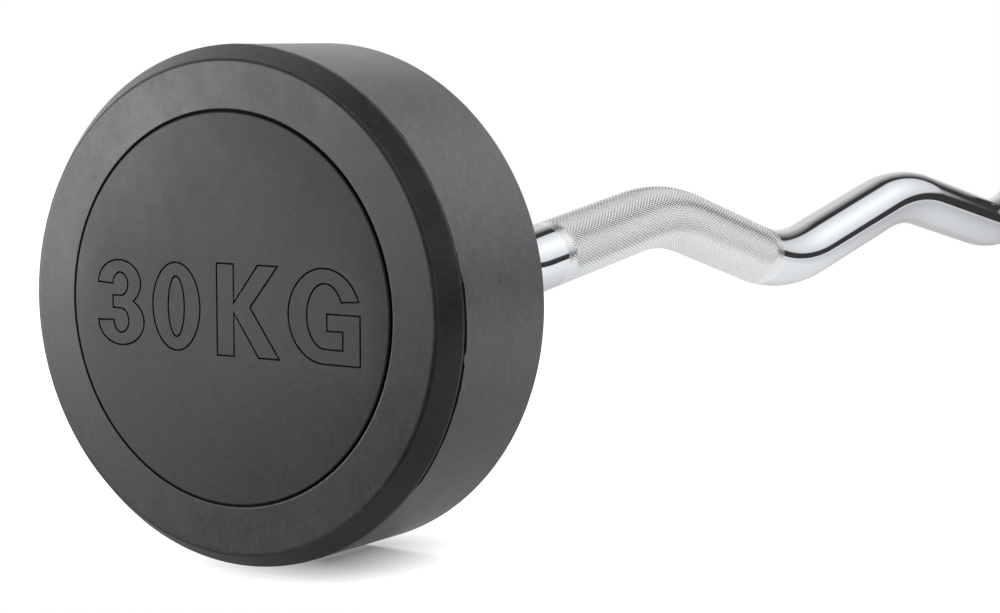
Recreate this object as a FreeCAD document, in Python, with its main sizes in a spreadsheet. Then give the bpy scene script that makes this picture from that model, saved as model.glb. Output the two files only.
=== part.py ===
# EZ curl barbell of fixed weight: a bent, chromed steel bar with a keyed and bolted drum head
# at each end. Every head is a steel core in a rubber jacket, with a bevelled rubber ring and an
# inlaid rubber disc at its outer face. Lengths are millimetres. The origin is on the floor under
# the middle of the bar, +X runs along the bar and +Z is up.
import FreeCAD, Part
import math
import os
import Sketcher
from FreeCAD import Placement, Rotation, Vector

# Driving sizes
BAR_SIZES = {
    "bar_diameter": 29,
    "span_between_heads": 1089,
    "centre_height": 9.8,
    "valley_offset": 150.8,
    "valley_depth": 19.6,
    "peak_offset": 281.4,
    "peak_height": 15.6,
    "rise_offset": 407.4,
    "centre_bend": 165,
    "valley_bend": 148,
    "peak_bend": 140,
    "rise_bend": 95,
    "grip_inner_offset": 176.1,
    "grip_outer_offset": 389,
    "knurl_depth": 0.4,
    "spigot_diameter": 25,
    "spigot_length": 21.5,
    "spigot_chamfer": 1,
    "tapped_depth": 36,
}
HEAD_SIZES = {
    "head_diameter": 190,
    "head_width": 64,
    "rubber_wall": 4,
    "back_thickness": 4,
    "back_edge_radius": 1,
    "hub_edge_radius": 1,
    "ring_depth": 8,
    "ring_land": 0.8,
    "bevel_drop": 5.25,
    "face_edge_radius": 2,
    "ring_face_width": 18.05,
    "ring_edge_radius": 0.5,
    "disc_gap": 0.8,
    "disc_thickness": 5.2,
    "disc_proud": 0.6,
    "disc_edge_radius": 0.5,
    "core_chamfer": 1.5,
    "well_diameter": 48,
    "well_depth": 21.4,
}
FASTENER_SIZES = {
    "thread_diameter": 12,
    "bolt_length": 40,
    "bolt_head_diameter": 18,
    "bolt_head_height": 12,
    "bolt_chamfer": 1,
    "hex_width": 10,
    "hex_depth": 6,
    "washer_diameter": 44,
    "washer_thickness": 5,
    "washer_chamfer": 0.8,
    "lock_washer_diameter": 21,
    "lock_washer_thickness": 3,
    "lock_washer_slit": 1.5,
    "key_width": 8,
    "key_height": 7,
    "key_length": 16,
    "key_seat_depth": 4,
    "key_setback": 2,
}
CLEARANCES = {
    "hub_gap": 0.2,
    "bond_gap": 0.1,
    "socket_gap": 0.1,
    "spigot_end_gap": 0.5,
    "thread_gap": 0.1,
    "washer_bore_gap": 0.5,
    "key_side_gap": 0.05,
    "key_top_gap": 0.3,
}

# A hexagon's corner radius as a share of its width across flats
HEX_CORNER_SHARE = 1 / math.sqrt(3)
HEX_SIDES = 6
EDGE_MATCH_TOLERANCE = 1e-4

# The sketcher's own numbers for the two axes, the origin point and the points of an edge
HORIZONTAL_AXIS_INDEX = -1
VERTICAL_AXIS_INDEX = -2
START_INDEX = 1
END_INDEX = 2
CENTRE_INDEX = 3
ORIGIN = (HORIZONTAL_AXIS_INDEX, START_INDEX)

# Turn of each head about +Z, so that it faces out from its end of the bar
HEAD_TURN_DEGREES = {"left": 180, "right": 0}


class Length:
    """A length's value in millimetres, with the sheet expression that gives it."""

    def __init__(self, value, text):
        self.value = value
        self.text = text

    def __add__(self, other):
        return Length(self.value + other.value, f"({self.text} + {other.text})")

    def __sub__(self, other):
        return Length(self.value - other.value, f"({self.text} - {other.text})")

    def __mul__(self, share):
        return Length(self.value * share, f"({self.text} * {share:.12f})")

    def __neg__(self):
        return self * -1


ZERO = Length(0.0, "0")

document = FreeCAD.newDocument("ez_curl_bar")
sheet = document.addObject("Spreadsheet::Sheet", "Sizes")


def fill_sheet():
    """Write every driving size to the sheet, and return them as lengths by name."""
    lengths = {}
    row = 0
    for group in (BAR_SIZES, HEAD_SIZES, FASTENER_SIZES, CLEARANCES):
        for name, value in group.items():
            row += 1
            sheet.set(f"A{row}", name)
            sheet.set(f"B{row}", str(value))
            sheet.setAlias(f"B{row}", name)
            lengths[name] = Length(float(value), f"Sizes.{name}")
    document.recompute()
    return lengths


size = fill_sheet()


def half(name):
    return size[name] * 0.5


# Places along a head, from the back face of its jacket outwards
SEAM = size["head_width"] - size["ring_depth"]
DISC_FACE = size["head_width"] + size["disc_proud"]
DISC_BACK = DISC_FACE - size["disc_thickness"]
WELL_FLOOR = DISC_BACK - size["well_depth"]
SPIGOT_END = WELL_FLOOR - size["spigot_end_gap"]
SHOULDER = SPIGOT_END - size["spigot_length"]
WASHER_FACE = WELL_FLOOR + size["washer_thickness"]
LOCK_WASHER_FACE = WASHER_FACE + size["lock_washer_thickness"]
BOLT_TOP = LOCK_WASHER_FACE + size["bolt_head_height"]
BOLT_TIP = LOCK_WASHER_FACE - size["bolt_length"]
KEY_START = SHOULDER + size["key_setback"]
KEY_END = KEY_START + size["key_length"]

# Radii and heights about the bar's axis
HEAD_RADIUS = half("head_diameter")
JACKET_BORE = HEAD_RADIUS - size["rubber_wall"]
CORE_RADIUS = JACKET_BORE - size["bond_gap"]
FACE_RADIUS = HEAD_RADIUS - size["bevel_drop"]
RING_BORE = FACE_RADIUS - size["ring_face_width"]
BOSS_RADIUS = RING_BORE - size["bond_gap"]
DISC_RADIUS = RING_BORE - size["disc_gap"]
BAR_RADIUS = half("bar_diameter")
HUB_RADIUS = BAR_RADIUS + size["hub_gap"]
SOCKET_RADIUS = BAR_RADIUS + size["socket_gap"]
SPIGOT_RADIUS = half("spigot_diameter")
CORE_BORE = SPIGOT_RADIUS + size["socket_gap"]
WELL_RADIUS = half("well_diameter")
THREAD_RADIUS = half("thread_diameter")
TAPPED_RADIUS = THREAD_RADIUS + size["thread_gap"]
WASHER_BORE = THREAD_RADIUS + size["washer_bore_gap"]
KEY_FLOOR = SPIGOT_RADIUS - size["key_seat_depth"]
KEYWAY_TOP = KEY_FLOOR + size["key_height"] + size["key_top_gap"]
KEY_HALF_WIDTH = half("key_width")
KEYWAY_HALF_WIDTH = KEY_HALF_WIDTH + size["key_side_gap"]

HALF_SPAN = half("span_between_heads")


def make_body(name):
    body = document.addObject("PartDesign::Body", name)
    body.Label = name
    body.setExpression("Placement.Base.z", HEAD_RADIUS.text)
    return body


def origin_plane(body, role):
    return next(part for part in body.Origin.OriginFeatures if part.Role == role)


def make_sketch(body, name, plane, offset=ZERO):
    """A sketch on one of the body's own origin planes, or parallel to it at an offset."""
    sketch = body.newObject("Sketcher::SketchObject", name)
    sketch.AttachmentSupport = [(origin_plane(body, plane), "")]
    sketch.MapMode = "FlatFace"
    sketch.AttachmentOffset = Placement(Vector(0, 0, offset.value), Rotation())
    sketch.setExpression("AttachmentOffset.Base.z", offset.text)
    return sketch


def bind(sketch, kind, *where_and_length):
    """Add a sized constraint whose value follows the sheet."""
    *where, length = where_and_length
    index = sketch.addConstraint(Sketcher.Constraint(kind, *where, length.value))
    sketch.setExpression(f"Constraints[{index}]", length.text)


def place_along(sketch, kind, axis, point, length):
    """Fix one coordinate of a point: on the axis at zero, else at a signed distance from the origin."""
    if length.value == 0:
        sketch.addConstraint(Sketcher.Constraint("PointOnObject", *point, axis))
    elif length.value > 0:
        bind(sketch, kind, *ORIGIN, *point, length)
    else:
        bind(sketch, kind, *point, *ORIGIN, -length)


def place_point(sketch, point, across, up):
    place_along(sketch, "DistanceX", VERTICAL_AXIS_INDEX, point, across)
    place_along(sketch, "DistanceY", HORIZONTAL_AXIS_INDEX, point, up)


def draw_polygon(sketch, corners):
    """Draw a closed outline of straight edges, with each corner placed by two lengths."""
    points = [Vector(across.value, up.value, 0) for across, up in corners]
    edges = []
    for here, there in zip(points, points[1:] + points[:1]):
        edges.append(sketch.addGeometry(Part.LineSegment(here, there), False))
    for edge, following in zip(edges, edges[1:] + edges[:1]):
        sketch.addConstraint(Sketcher.Constraint("Coincident", edge, END_INDEX, following, START_INDEX))
    for edge, (across, up) in zip(edges, corners):
        place_point(sketch, (edge, START_INDEX), across, up)


def draw_circle(sketch, radius):
    circle = Part.Circle(Vector(0, 0, 0), Vector(0, 0, 1), radius.value)
    edge = sketch.addGeometry(circle, False)
    sketch.addConstraint(Sketcher.Constraint("Coincident", edge, CENTRE_INDEX, *ORIGIN))
    bind(sketch, "Radius", edge, radius)


def draw_slot(sketch, start, end, half_width):
    """Draw a slot with round ends along the horizontal axis."""
    near = start + half_width
    far = end - half_width
    radius = half_width.value
    normal = Vector(0, 0, 1)
    near_circle = Part.Circle(Vector(near.value, 0, 0), normal, radius)
    far_circle = Part.Circle(Vector(far.value, 0, 0), normal, radius)
    near_arc = sketch.addGeometry(Part.ArcOfCircle(near_circle, math.pi / 2, 3 * math.pi / 2), False)
    far_arc = sketch.addGeometry(Part.ArcOfCircle(far_circle, -math.pi / 2, math.pi / 2), False)
    lower = Part.LineSegment(Vector(near.value, -radius, 0), Vector(far.value, -radius, 0))
    upper = Part.LineSegment(Vector(far.value, radius, 0), Vector(near.value, radius, 0))
    lower_edge = sketch.addGeometry(lower, False)
    upper_edge = sketch.addGeometry(upper, False)
    loop = (near_arc, lower_edge, far_arc, upper_edge)
    for edge, following in zip(loop, loop[1:] + loop[:1]):
        sketch.addConstraint(Sketcher.Constraint("Tangent", edge, END_INDEX, following, START_INDEX))
    place_point(sketch, (near_arc, CENTRE_INDEX), near, ZERO)
    place_point(sketch, (far_arc, CENTRE_INDEX), far, ZERO)
    bind(sketch, "Radius", near_arc, half_width)
    sketch.addConstraint(Sketcher.Constraint("Equal", near_arc, far_arc))


def revolve(body, name, corners):
    """Turn an outline of (along, radius) corners about the bar's axis."""
    sketch = make_sketch(body, f"{name}_outline", "XZ_Plane")
    draw_polygon(sketch, corners)
    solid = body.newObject("PartDesign::Revolution", name)
    solid.Profile = sketch
    solid.ReferenceAxis = (sketch, ["H_Axis"])
    solid.Angle = 360
    document.recompute()
    return solid


def pad(body, name, sketch, length):
    solid = body.newObject("PartDesign::Pad", name)
    solid.Profile = sketch
    solid.setExpression("Length", length.text)
    document.recompute()
    return solid


def cut(body, name, sketch, length, both_ways=False):
    """Pocket a sketch against its normal, or to both sides of it, and see that it removes metal."""
    before = body.Shape.Volume
    pocket = body.newObject("PartDesign::Pocket", name)
    pocket.Profile = sketch
    pocket.Midplane = both_ways
    pocket.setExpression("Length", length.text)
    document.recompute()
    if not pocket.Shape.Volume < before:
        raise RuntimeError(f"{body.Label}: {name} cuts nothing")
    return pocket


def rim(solid, along, radius):
    """Name the circular edge about the bar's axis at this place and radius."""
    for number, edge in enumerate(solid.Shape.Edges, start=1):
        curve = edge.Curve
        if not isinstance(curve, Part.Circle):
            continue
        off_radius = abs(curve.Radius - radius.value)
        off_place = abs(curve.Center.x - along.value)
        off_axis = math.hypot(curve.Center.y, curve.Center.z)
        if max(off_radius, off_place, off_axis) < EDGE_MATCH_TOLERANCE:
            return f"Edge{number}"
    raise RuntimeError(f"{solid.Label}: no edge of radius {radius.value} at {along.value}")


def dress(body, kind, name, amount_name, solid, rims):
    """Fillet or chamfer the circular edges at the given places and radii."""
    feature = body.newObject(f"PartDesign::{kind}", name)
    feature.Base = (solid, [rim(solid, along, radius) for along, radius in rims])
    feature.setExpression("Radius" if kind == "Fillet" else "Size", size[amount_name].text)
    document.recompute()
    return feature


# The bent bar

BAR_SHOULDER = HALF_SPAN + SHOULDER
BAR_SPIGOT_END = HALF_SPAN + SPIGOT_END

# Corners of the centre line before its bends round them, from the valley left of the bar's middle
# to its right shoulder. Each bend rounds the corner after its own number.
CENTRE_LINE_CORNERS = [
    (-size["valley_offset"], -size["valley_depth"]),
    (ZERO, size["centre_height"]),
    (size["valley_offset"], -size["valley_depth"]),
    (size["peak_offset"], size["peak_height"]),
    (size["rise_offset"], ZERO),
    (BAR_SHOULDER, ZERO),
]
BENDS = ["centre_bend", "valley_bend", "peak_bend", "rise_bend"]


def find_bend(before, corner, after, radius):
    """Start, end and centre of the arc that rounds a corner, and whether it turns anticlockwise."""
    arriving = (corner - before).normalize()
    leaving = (after - corner).normalize()
    turn = arriving.getAngle(leaving)
    reach = radius * math.tan(turn / 2)
    inwards = (leaving - arriving).normalize()
    centre = corner + inwards * (radius / math.cos(turn / 2))
    return corner - arriving * reach, corner + leaving * reach, centre, arriving.cross(leaving).z > 0


def draw_arc(sketch, start, end, centre, anticlockwise):
    """Add an arc, and return its edge with its points where the centre line enters and leaves it."""
    first, last = (start, end) if anticlockwise else (end, start)
    angles = [math.atan2(point.y - centre.y, point.x - centre.x) for point in (first, last)]
    circle = Part.Circle(centre, Vector(0, 0, 1), (start - centre).Length)
    edge = sketch.addGeometry(Part.ArcOfCircle(circle, *angles), False)
    if anticlockwise:
        return edge, START_INDEX, END_INDEX
    return edge, END_INDEX, START_INDEX


def draw_centre_line(sketch, bends, start, end):
    """Draw the centre line through some bends, from a place in the first to one on the run after the last."""
    first_corner = BENDS.index(bends[0])
    corners = CENTRE_LINE_CORNERS[first_corner:first_corner + len(bends) + 2]
    points = [Vector(across.value, up.value, 0) for across, up in corners]
    marks = [sketch.addGeometry(Part.Point(point), True) for point in points]
    for mark, (across, up) in zip(marks, corners):
        place_point(sketch, (mark, START_INDEX), across, up)

    arcs = []
    for number, name in enumerate(bends):
        arcs.append(find_bend(*points[number:number + 3], size[name].value))
    _, first_end, centre, anticlockwise = arcs[0]
    side = -1 if anticlockwise else 1
    rise = math.sqrt(size[bends[0]].value ** 2 - (start.value - centre.x) ** 2)
    arcs[0] = (Vector(start.value, centre.y + side * rise, 0), first_end, centre, anticlockwise)
    last_start = arcs[-1][1]
    last_slope = (points[-1].y - last_start.y) / (points[-1].x - last_start.x)
    last_point = Vector(end.value, last_start.y + last_slope * (end.value - last_start.x), 0)
    run_ends = [arc[0] for arc in arcs[1:]] + [last_point]

    approach = sketch.addGeometry(Part.LineSegment(points[0], points[1]), True)
    for approach_end, mark in ((START_INDEX, marks[0]), (END_INDEX, marks[1])):
        sketch.addConstraint(Sketcher.Constraint("Coincident", approach, approach_end, mark, START_INDEX))
    run = None
    for number, (name, arc, run_end) in enumerate(zip(bends, arcs, run_ends)):
        bend, entry, leave = draw_arc(sketch, *arc)
        bind(sketch, "Radius", bend, size[name])
        if run is None:
            sketch.addConstraint(Sketcher.Constraint("Tangent", approach, bend))
            place_along(sketch, "DistanceX", VERTICAL_AXIS_INDEX, (bend, entry), start)
        else:
            sketch.addConstraint(Sketcher.Constraint("Tangent", run, END_INDEX, bend, entry))
        run = sketch.addGeometry(Part.LineSegment(arc[1], run_end), False)
        sketch.addConstraint(Sketcher.Constraint("Tangent", bend, leave, run, START_INDEX))
        for mark in marks[number + 1:number + 3]:
            sketch.addConstraint(Sketcher.Constraint("PointOnObject", mark, START_INDEX, run))
    place_along(sketch, "DistanceX", VERTICAL_AXIS_INDEX, (run, END_INDEX), end)
    document.recompute()


def outer_edge(sketch):
    """Name the edge of an open sketch that reaches furthest along the bar."""
    reach = [edge.BoundBox.XMax for edge in sketch.Shape.Edges]
    return f"Edge{reach.index(max(reach)) + 1}"


def cut_grip(body):
    """Sink the band that the knurl stands in, from the valley bend to just inside the last bend."""
    grip_line = make_sketch(body, "grip_line", "XZ_Plane")
    ends = (size["grip_inner_offset"], size["grip_outer_offset"])
    draw_centre_line(grip_line, ["valley_bend", "peak_bend"], *ends)
    band_section = body.newObject("Sketcher::SketchObject", "band_section")
    band_section.AttachmentSupport = [(grip_line, outer_edge(grip_line))]
    band_section.MapMode = "NormalToEdge"
    band_section.MapPathParameter = 1
    draw_circle(band_section, BAR_RADIUS - size["knurl_depth"])
    draw_circle(band_section, BAR_RADIUS + size["knurl_depth"])
    document.recompute()
    before = body.Shape.Volume
    band = body.newObject("PartDesign::SubtractivePipe", "grip_band")
    band.Profile = band_section
    band.Spine = grip_line
    document.recompute()
    if not band.Shape.Volume < before:
        raise RuntimeError("the grip's band cuts nothing")


def make_ez_bar():
    """One bent bar: a round section along the zigzag, with a keyed and tapped spigot at each end."""
    body = make_body("ez_bar")
    centre_line = make_sketch(body, "centre_line", "XZ_Plane")
    draw_centre_line(centre_line, BENDS, ZERO, BAR_SHOULDER)
    section = make_sketch(body, "section", "YZ_Plane", BAR_SHOULDER)
    draw_circle(section, BAR_RADIUS)
    document.recompute()
    half_bar = body.newObject("PartDesign::AdditivePipe", "half_bar")
    half_bar.Profile = section
    half_bar.Spine = centre_line
    document.recompute()
    cut_grip(body)

    spigot_section = make_sketch(body, "spigot_section", "YZ_Plane", BAR_SHOULDER)
    draw_circle(spigot_section, SPIGOT_RADIUS)
    spigot = pad(body, "spigot", spigot_section, size["spigot_length"])
    dress(body, "Chamfer", "spigot_lead", "spigot_chamfer", spigot, [(BAR_SPIGOT_END, SPIGOT_RADIUS)])

    hole_section = make_sketch(body, "tapped_hole_section", "YZ_Plane", BAR_SPIGOT_END)
    draw_circle(hole_section, TAPPED_RADIUS)
    cut(body, "tapped_hole", hole_section, size["tapped_depth"])

    seat_outline = make_sketch(body, "key_seat_outline", "XY_Plane", SPIGOT_RADIUS)
    gap = size["key_side_gap"]
    draw_slot(seat_outline, HALF_SPAN + KEY_START - gap, HALF_SPAN + KEY_END + gap, KEYWAY_HALF_WIDTH)
    cut(body, "key_seat", seat_outline, size["key_seat_depth"])

    whole_bar = body.newObject("PartDesign::Mirrored", "whole_bar")
    whole_bar.TransformMode = "Whole shape"
    whole_bar.MirrorPlane = (origin_plane(body, "YZ_Plane"), [""])
    body.Tip = whole_bar
    document.recompute()
    return body


# The pieces of one head, outwards from its back face

def make_drum_jacket(body):
    """The rubber drum: a cup with a rounded back edge and a hole that hugs the bar."""
    cup = revolve(body, "cup", [
        (ZERO, HUB_RADIUS),
        (ZERO, HEAD_RADIUS),
        (SEAM, HEAD_RADIUS),
        (SEAM, JACKET_BORE),
        (size["back_thickness"], JACKET_BORE),
        (size["back_thickness"], HUB_RADIUS),
    ])
    cup = dress(body, "Fillet", "back_edge", "back_edge_radius", cup, [(ZERO, HEAD_RADIUS)])
    dress(body, "Fillet", "hub_edge", "hub_edge_radius", cup, [(ZERO, HUB_RADIUS)])


def make_head_core(body):
    """The steel weight: socket and keyed bore for the bar, and a well for the bolt under the disc."""
    core = revolve(body, "core", [
        (size["back_thickness"], SOCKET_RADIUS),
        (size["back_thickness"], CORE_RADIUS),
        (SEAM, CORE_RADIUS),
        (SEAM, BOSS_RADIUS),
        (DISC_BACK, BOSS_RADIUS),
        (DISC_BACK, WELL_RADIUS),
        (WELL_FLOOR, WELL_RADIUS),
        (WELL_FLOOR, CORE_BORE),
        (SHOULDER, CORE_BORE),
        (SHOULDER, SOCKET_RADIUS),
    ])
    edges = [(size["back_thickness"], CORE_RADIUS), (SEAM, CORE_RADIUS)]
    dress(body, "Chamfer", "broken_edges", "core_chamfer", core, edges)
    keyway_outline = make_sketch(body, "keyway_outline", "YZ_Plane", WELL_FLOOR)
    draw_polygon(keyway_outline, [
        (-KEYWAY_HALF_WIDTH, ZERO),
        (KEYWAY_HALF_WIDTH, ZERO),
        (KEYWAY_HALF_WIDTH, KEYWAY_TOP),
        (-KEYWAY_HALF_WIDTH, KEYWAY_TOP),
    ])
    cut(body, "keyway", keyway_outline, WELL_FLOOR - SHOULDER)


def make_front_ring(body):
    """The rubber ring with a narrow land at the jacket's seam, a bevel and a flat face that frames the disc."""
    ring = revolve(body, "ring", [
        (SEAM, RING_BORE),
        (SEAM, HEAD_RADIUS),
        (SEAM + size["ring_land"], HEAD_RADIUS),
        (size["head_width"], FACE_RADIUS),
        (size["head_width"], RING_BORE),
    ])
    ring = dress(body, "Fillet", "face_edge", "face_edge_radius", ring, [(size["head_width"], FACE_RADIUS)])
    dress(body, "Fillet", "bore_edge", "ring_edge_radius", ring, [(size["head_width"], RING_BORE)])


def make_end_disc(body):
    """The inlaid rubber disc, glued on the core's boss and standing a little proud of the ring."""
    disc = revolve(body, "disc", [
        (DISC_BACK, ZERO),
        (DISC_FACE, ZERO),
        (DISC_FACE, DISC_RADIUS),
        (DISC_BACK, DISC_RADIUS),
    ])
    dress(body, "Fillet", "disc_edge", "disc_edge_radius", disc, [(DISC_FACE, DISC_RADIUS)])


def make_clamp_washer(body):
    washer_radius = half("washer_diameter")
    washer = revolve(body, "washer", [
        (WELL_FLOOR, WASHER_BORE),
        (WELL_FLOOR, washer_radius),
        (WASHER_FACE, washer_radius),
        (WASHER_FACE, WASHER_BORE),
    ])
    dress(body, "Chamfer", "washer_edge", "washer_chamfer", washer, [(WASHER_FACE, washer_radius)])


def make_lock_washer(body):
    """A split spring washer, pressed flat under the bolt's head."""
    washer_radius = half("lock_washer_diameter")
    revolve(body, "coil", [
        (WASHER_FACE, WASHER_BORE),
        (WASHER_FACE, washer_radius),
        (LOCK_WASHER_FACE, washer_radius),
        (LOCK_WASHER_FACE, WASHER_BORE),
    ])
    slit_side = half("lock_washer_slit")
    slit_outline = make_sketch(body, "slit_outline", "YZ_Plane", LOCK_WASHER_FACE)
    draw_polygon(slit_outline, [
        (-slit_side, ZERO),
        (slit_side, ZERO),
        (slit_side, washer_radius + slit_side),
        (-slit_side, washer_radius + slit_side),
    ])
    cut(body, "slit", slit_outline, size["lock_washer_thickness"])


def make_retaining_bolt(body):
    """The socket head screw that pulls the head against the bar's shoulder."""
    head_radius = half("bolt_head_diameter")
    bolt = revolve(body, "bolt", [
        (BOLT_TIP, ZERO),
        (BOLT_TOP, ZERO),
        (BOLT_TOP, head_radius),
        (LOCK_WASHER_FACE, head_radius),
        (LOCK_WASHER_FACE, THREAD_RADIUS),
        (BOLT_TIP, THREAD_RADIUS),
    ])
    edges = [(BOLT_TIP, THREAD_RADIUS), (BOLT_TOP, head_radius)]
    dress(body, "Chamfer", "bolt_edges", "bolt_chamfer", bolt, edges)
    hex_outline = make_sketch(body, "hex_outline", "YZ_Plane", BOLT_TOP)
    corner_radius = size["hex_width"] * HEX_CORNER_SHARE
    corners = []
    for number in range(HEX_SIDES):
        angle = 2 * math.pi * (number + 0.5) / HEX_SIDES
        corners.append((corner_radius * math.cos(angle), corner_radius * math.sin(angle)))
    draw_polygon(hex_outline, corners)
    cut(body, "hex_socket", hex_outline, size["hex_depth"])


def make_drive_key(body):
    """The round-ended key that stops the head turning on the bar."""
    outline = make_sketch(body, "key_outline", "XY_Plane", KEY_FLOOR)
    draw_slot(outline, KEY_START, KEY_END, KEY_HALF_WIDTH)
    pad(body, "key", outline, size["key_height"])


HEAD_PIECES = {
    "drum_jacket": make_drum_jacket,
    "head_core": make_head_core,
    "front_ring": make_front_ring,
    "end_disc": make_end_disc,
    "clamp_washer": make_clamp_washer,
    "lock_washer": make_lock_washer,
    "retaining_bolt": make_retaining_bolt,
    "drive_key": make_drive_key,
}


def make_head(side):
    """Model every piece of a head about the bar's axis, and set it on its end of the bar."""
    turn = Rotation(Vector(0, 0, 1), HEAD_TURN_DEGREES[side])
    place = -HALF_SPAN if side == "left" else HALF_SPAN
    bodies = []
    for name, make_piece in HEAD_PIECES.items():
        body = make_body(f"{side}_{name}")
        make_piece(body)
        body.Placement = Placement(body.Placement.Base, turn)
        body.setExpression("Placement.Base.x", place.text)
        bodies.append(body)
    return bodies


def check_model(bodies):
    """Stop if any object failed to compute, or a piece is not one sound solid."""
    for thing in document.Objects:
        if "Invalid" in thing.State or "Error" in thing.State:
            raise RuntimeError(f"{thing.Label} failed: {thing.State}")
    for body in bodies:
        shape = body.Shape
        if shape.isNull() or not shape.isValid() or len(shape.Solids) != 1:
            raise RuntimeError(f"{body.Label} is not one sound solid")


pieces = [make_ez_bar(), *make_head("left"), *make_head("right")]
document.recompute()
check_model(pieces)

os.makedirs("parts", exist_ok=True)
for piece in pieces:
    piece.Shape.exportStep(f"parts/{piece.Label}.step")
    print(f"{piece.Label}: {piece.Shape.Volume / 1000:.2f} cm3")
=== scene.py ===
"""Looks of a fixed ez curl bar: a bent chromed bar with knurled grips and a rubber drum on each end."""

import math
import random
from collections import namedtuple

import bmesh
import bpy
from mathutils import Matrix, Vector, geometry


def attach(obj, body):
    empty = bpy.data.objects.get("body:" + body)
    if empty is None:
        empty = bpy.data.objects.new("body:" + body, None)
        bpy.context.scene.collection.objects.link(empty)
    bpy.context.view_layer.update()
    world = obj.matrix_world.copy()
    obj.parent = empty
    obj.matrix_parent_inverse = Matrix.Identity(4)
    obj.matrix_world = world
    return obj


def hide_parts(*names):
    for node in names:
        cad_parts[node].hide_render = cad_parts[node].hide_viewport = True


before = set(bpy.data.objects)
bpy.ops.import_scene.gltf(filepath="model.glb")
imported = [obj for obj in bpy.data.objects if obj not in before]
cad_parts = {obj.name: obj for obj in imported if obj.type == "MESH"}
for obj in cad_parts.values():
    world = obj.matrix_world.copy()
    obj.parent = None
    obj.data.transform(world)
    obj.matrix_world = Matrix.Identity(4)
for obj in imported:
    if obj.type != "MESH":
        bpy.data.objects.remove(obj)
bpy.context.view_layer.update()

# Units, turns, and how near two points or lengths count as one, in millimetres
MM = 0.001
FULL_TURN = 2 * math.pi
SIDES = {"left": -1, "right": 1}
NEAR_POINT = 0.15
FINE_TOLERANCE = 0.00015

# Bar, in millimetres
AXIS_HEIGHT = 95.0
BAR_RADIUS = 14.5
BAR_COLUMNS = 112
SPIGOT_RADIUS = 12.5
SPIGOT_END = 582.0
SPIGOT_CHAMFER = 1.0
SHOULDER_OFFSET = 560.5
SHOULDER_ROUND = 0.4
BEND_CORNERS = [(0.0, 9.8), (150.8, -19.6), (281.4, 15.6), (407.4, 0.0)]
BEND_RADII = [165.0, 148.0, 140.0, 95.0]
BEND_ROW_STEP = 4.0
RUN_ROW_STEP = 40.0
BAR_FINISHES = ("bar_chrome", "crest_chrome", "knurl_flank_painted_shade_chrome")
PLAIN_SKIN, CREST_SKIN, FLANK_PAINTED_SHADE_SKIN = range(len(BAR_FINISHES))

# Knurled grips, in millimetres
GRIP_INNER_OFFSET = 176.1
GRIP_OUTER_OFFSET = 389.0
KNURL_ROW_STEP = 1.4
KNURL_DEPTH = 0.26
KNURL_FLAT_SHARE = 0.45
KNURL_CROWN = 0.07
KNURL_FADE_ROWS = 7
KNURL_RAGGED_ROWS = 1.5
KNURL_SEED = 5

# Rounded edges, in millimetres
EDGE_STEPS = 6
EDGE_SUPPORT = 0.3
EDGE_LEAD_POINTS = 2
SHARP_EDGE_DEGREES = 35

# Drum heads, in millimetres from the back face and from the axis
BACK_OFFSET = 544.5
DRUM_RADIUS = 95.0
DRUM_SEGMENTS = 720
BACK_EDGE_RADIUS = 1.0
BACK_THICKNESS = 4.0
BORE_RADIUS = 91.0
HUB_RADIUS = 14.7
HUB_EDGE_RADIUS = 1.0
SEAM_DEPTH = 56.0
RING_LAND = 0.8
FACE_DEPTH = 64.0
BEVEL_DROP = 5.25
FACE_EDGE_RADIUS = 2.0
RING_BORE_RADIUS = 71.7
RING_EDGE_RADIUS = 0.5

# Rows of the ring's outline with a finish of their own: first row, and the row after the last. The bevel's
# rubber is darker as painted shade, the rounded face edge's is paler as painted light, and the bore's lower
# edge and wall are dark as painted shade in the gap.
RING_FINISH_ROWS = {"bevel_painted_shade_rubber": (6, 9), "edge_painted_light_rubber": (9, 15), "gap_painted_shade_rubber": (23, 26)}

# End discs and the bead of glue round them, in millimetres. The disc's side and the glue take a dark rubber
# without gloss, painted shade in the gap.
DISC_RADIUS = 70.9
DISC_FACE_DEPTH = 64.6
DISC_BACK_DEPTH = 59.4
DISC_EDGE_RADIUS = 0.5
DISC_FLAT_RADIUS = DISC_RADIUS - DISC_EDGE_RADIUS
DISC_SEGMENTS = 360
DISC_FINISHES = ("disc_rubber", "gap_painted_shade_rubber")
FACE_SKIN, GAP_PAINTED_SHADE_SKIN = range(len(DISC_FINISHES))
GLUE_DEPTH = 63.4
GLUE_RADIUS = 71.65
GLUE_RISE = 0.35
GLUE_RISE_SIDE = math.radians(172)
GLUE_RISE_POWER = 2

# Moulding line between drum and ring, in millimetres, and its open stretch and bridge in degrees
SEAM_SEED = 11
SEAM_WAVES = (5, 9, 14, 23, 37, 58, 90)
SEAM_WAVE_SHARES = (0.3, 1.0)
SEAM_GAP = 0.12
SEAM_GAP_SWING = 0.1
SEAM_GAP_LOW = 0.02
SEAM_OPEN_GAP = 1.3
SEAM_OPEN_STRETCH = (-40.0, 11.0)
SEAM_OPEN_FADE = 3.0
SEAM_BRIDGE = -7.7
SEAM_BRIDGE_STEEPNESS = 2
SEAM_DRIFT = 2.5
SEAM_DRIFT_SIDE = math.radians(-28)
SEAM_DRIFT_POWER = 2
SEAM_GAP_DEPTH = 2.2
SEAM_LIP = 0.04
SEAM_LIP_SWING = 0.03
SEAM_LIP_WIDTH = 0.45
SEAM_ROUND = 0.12

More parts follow.
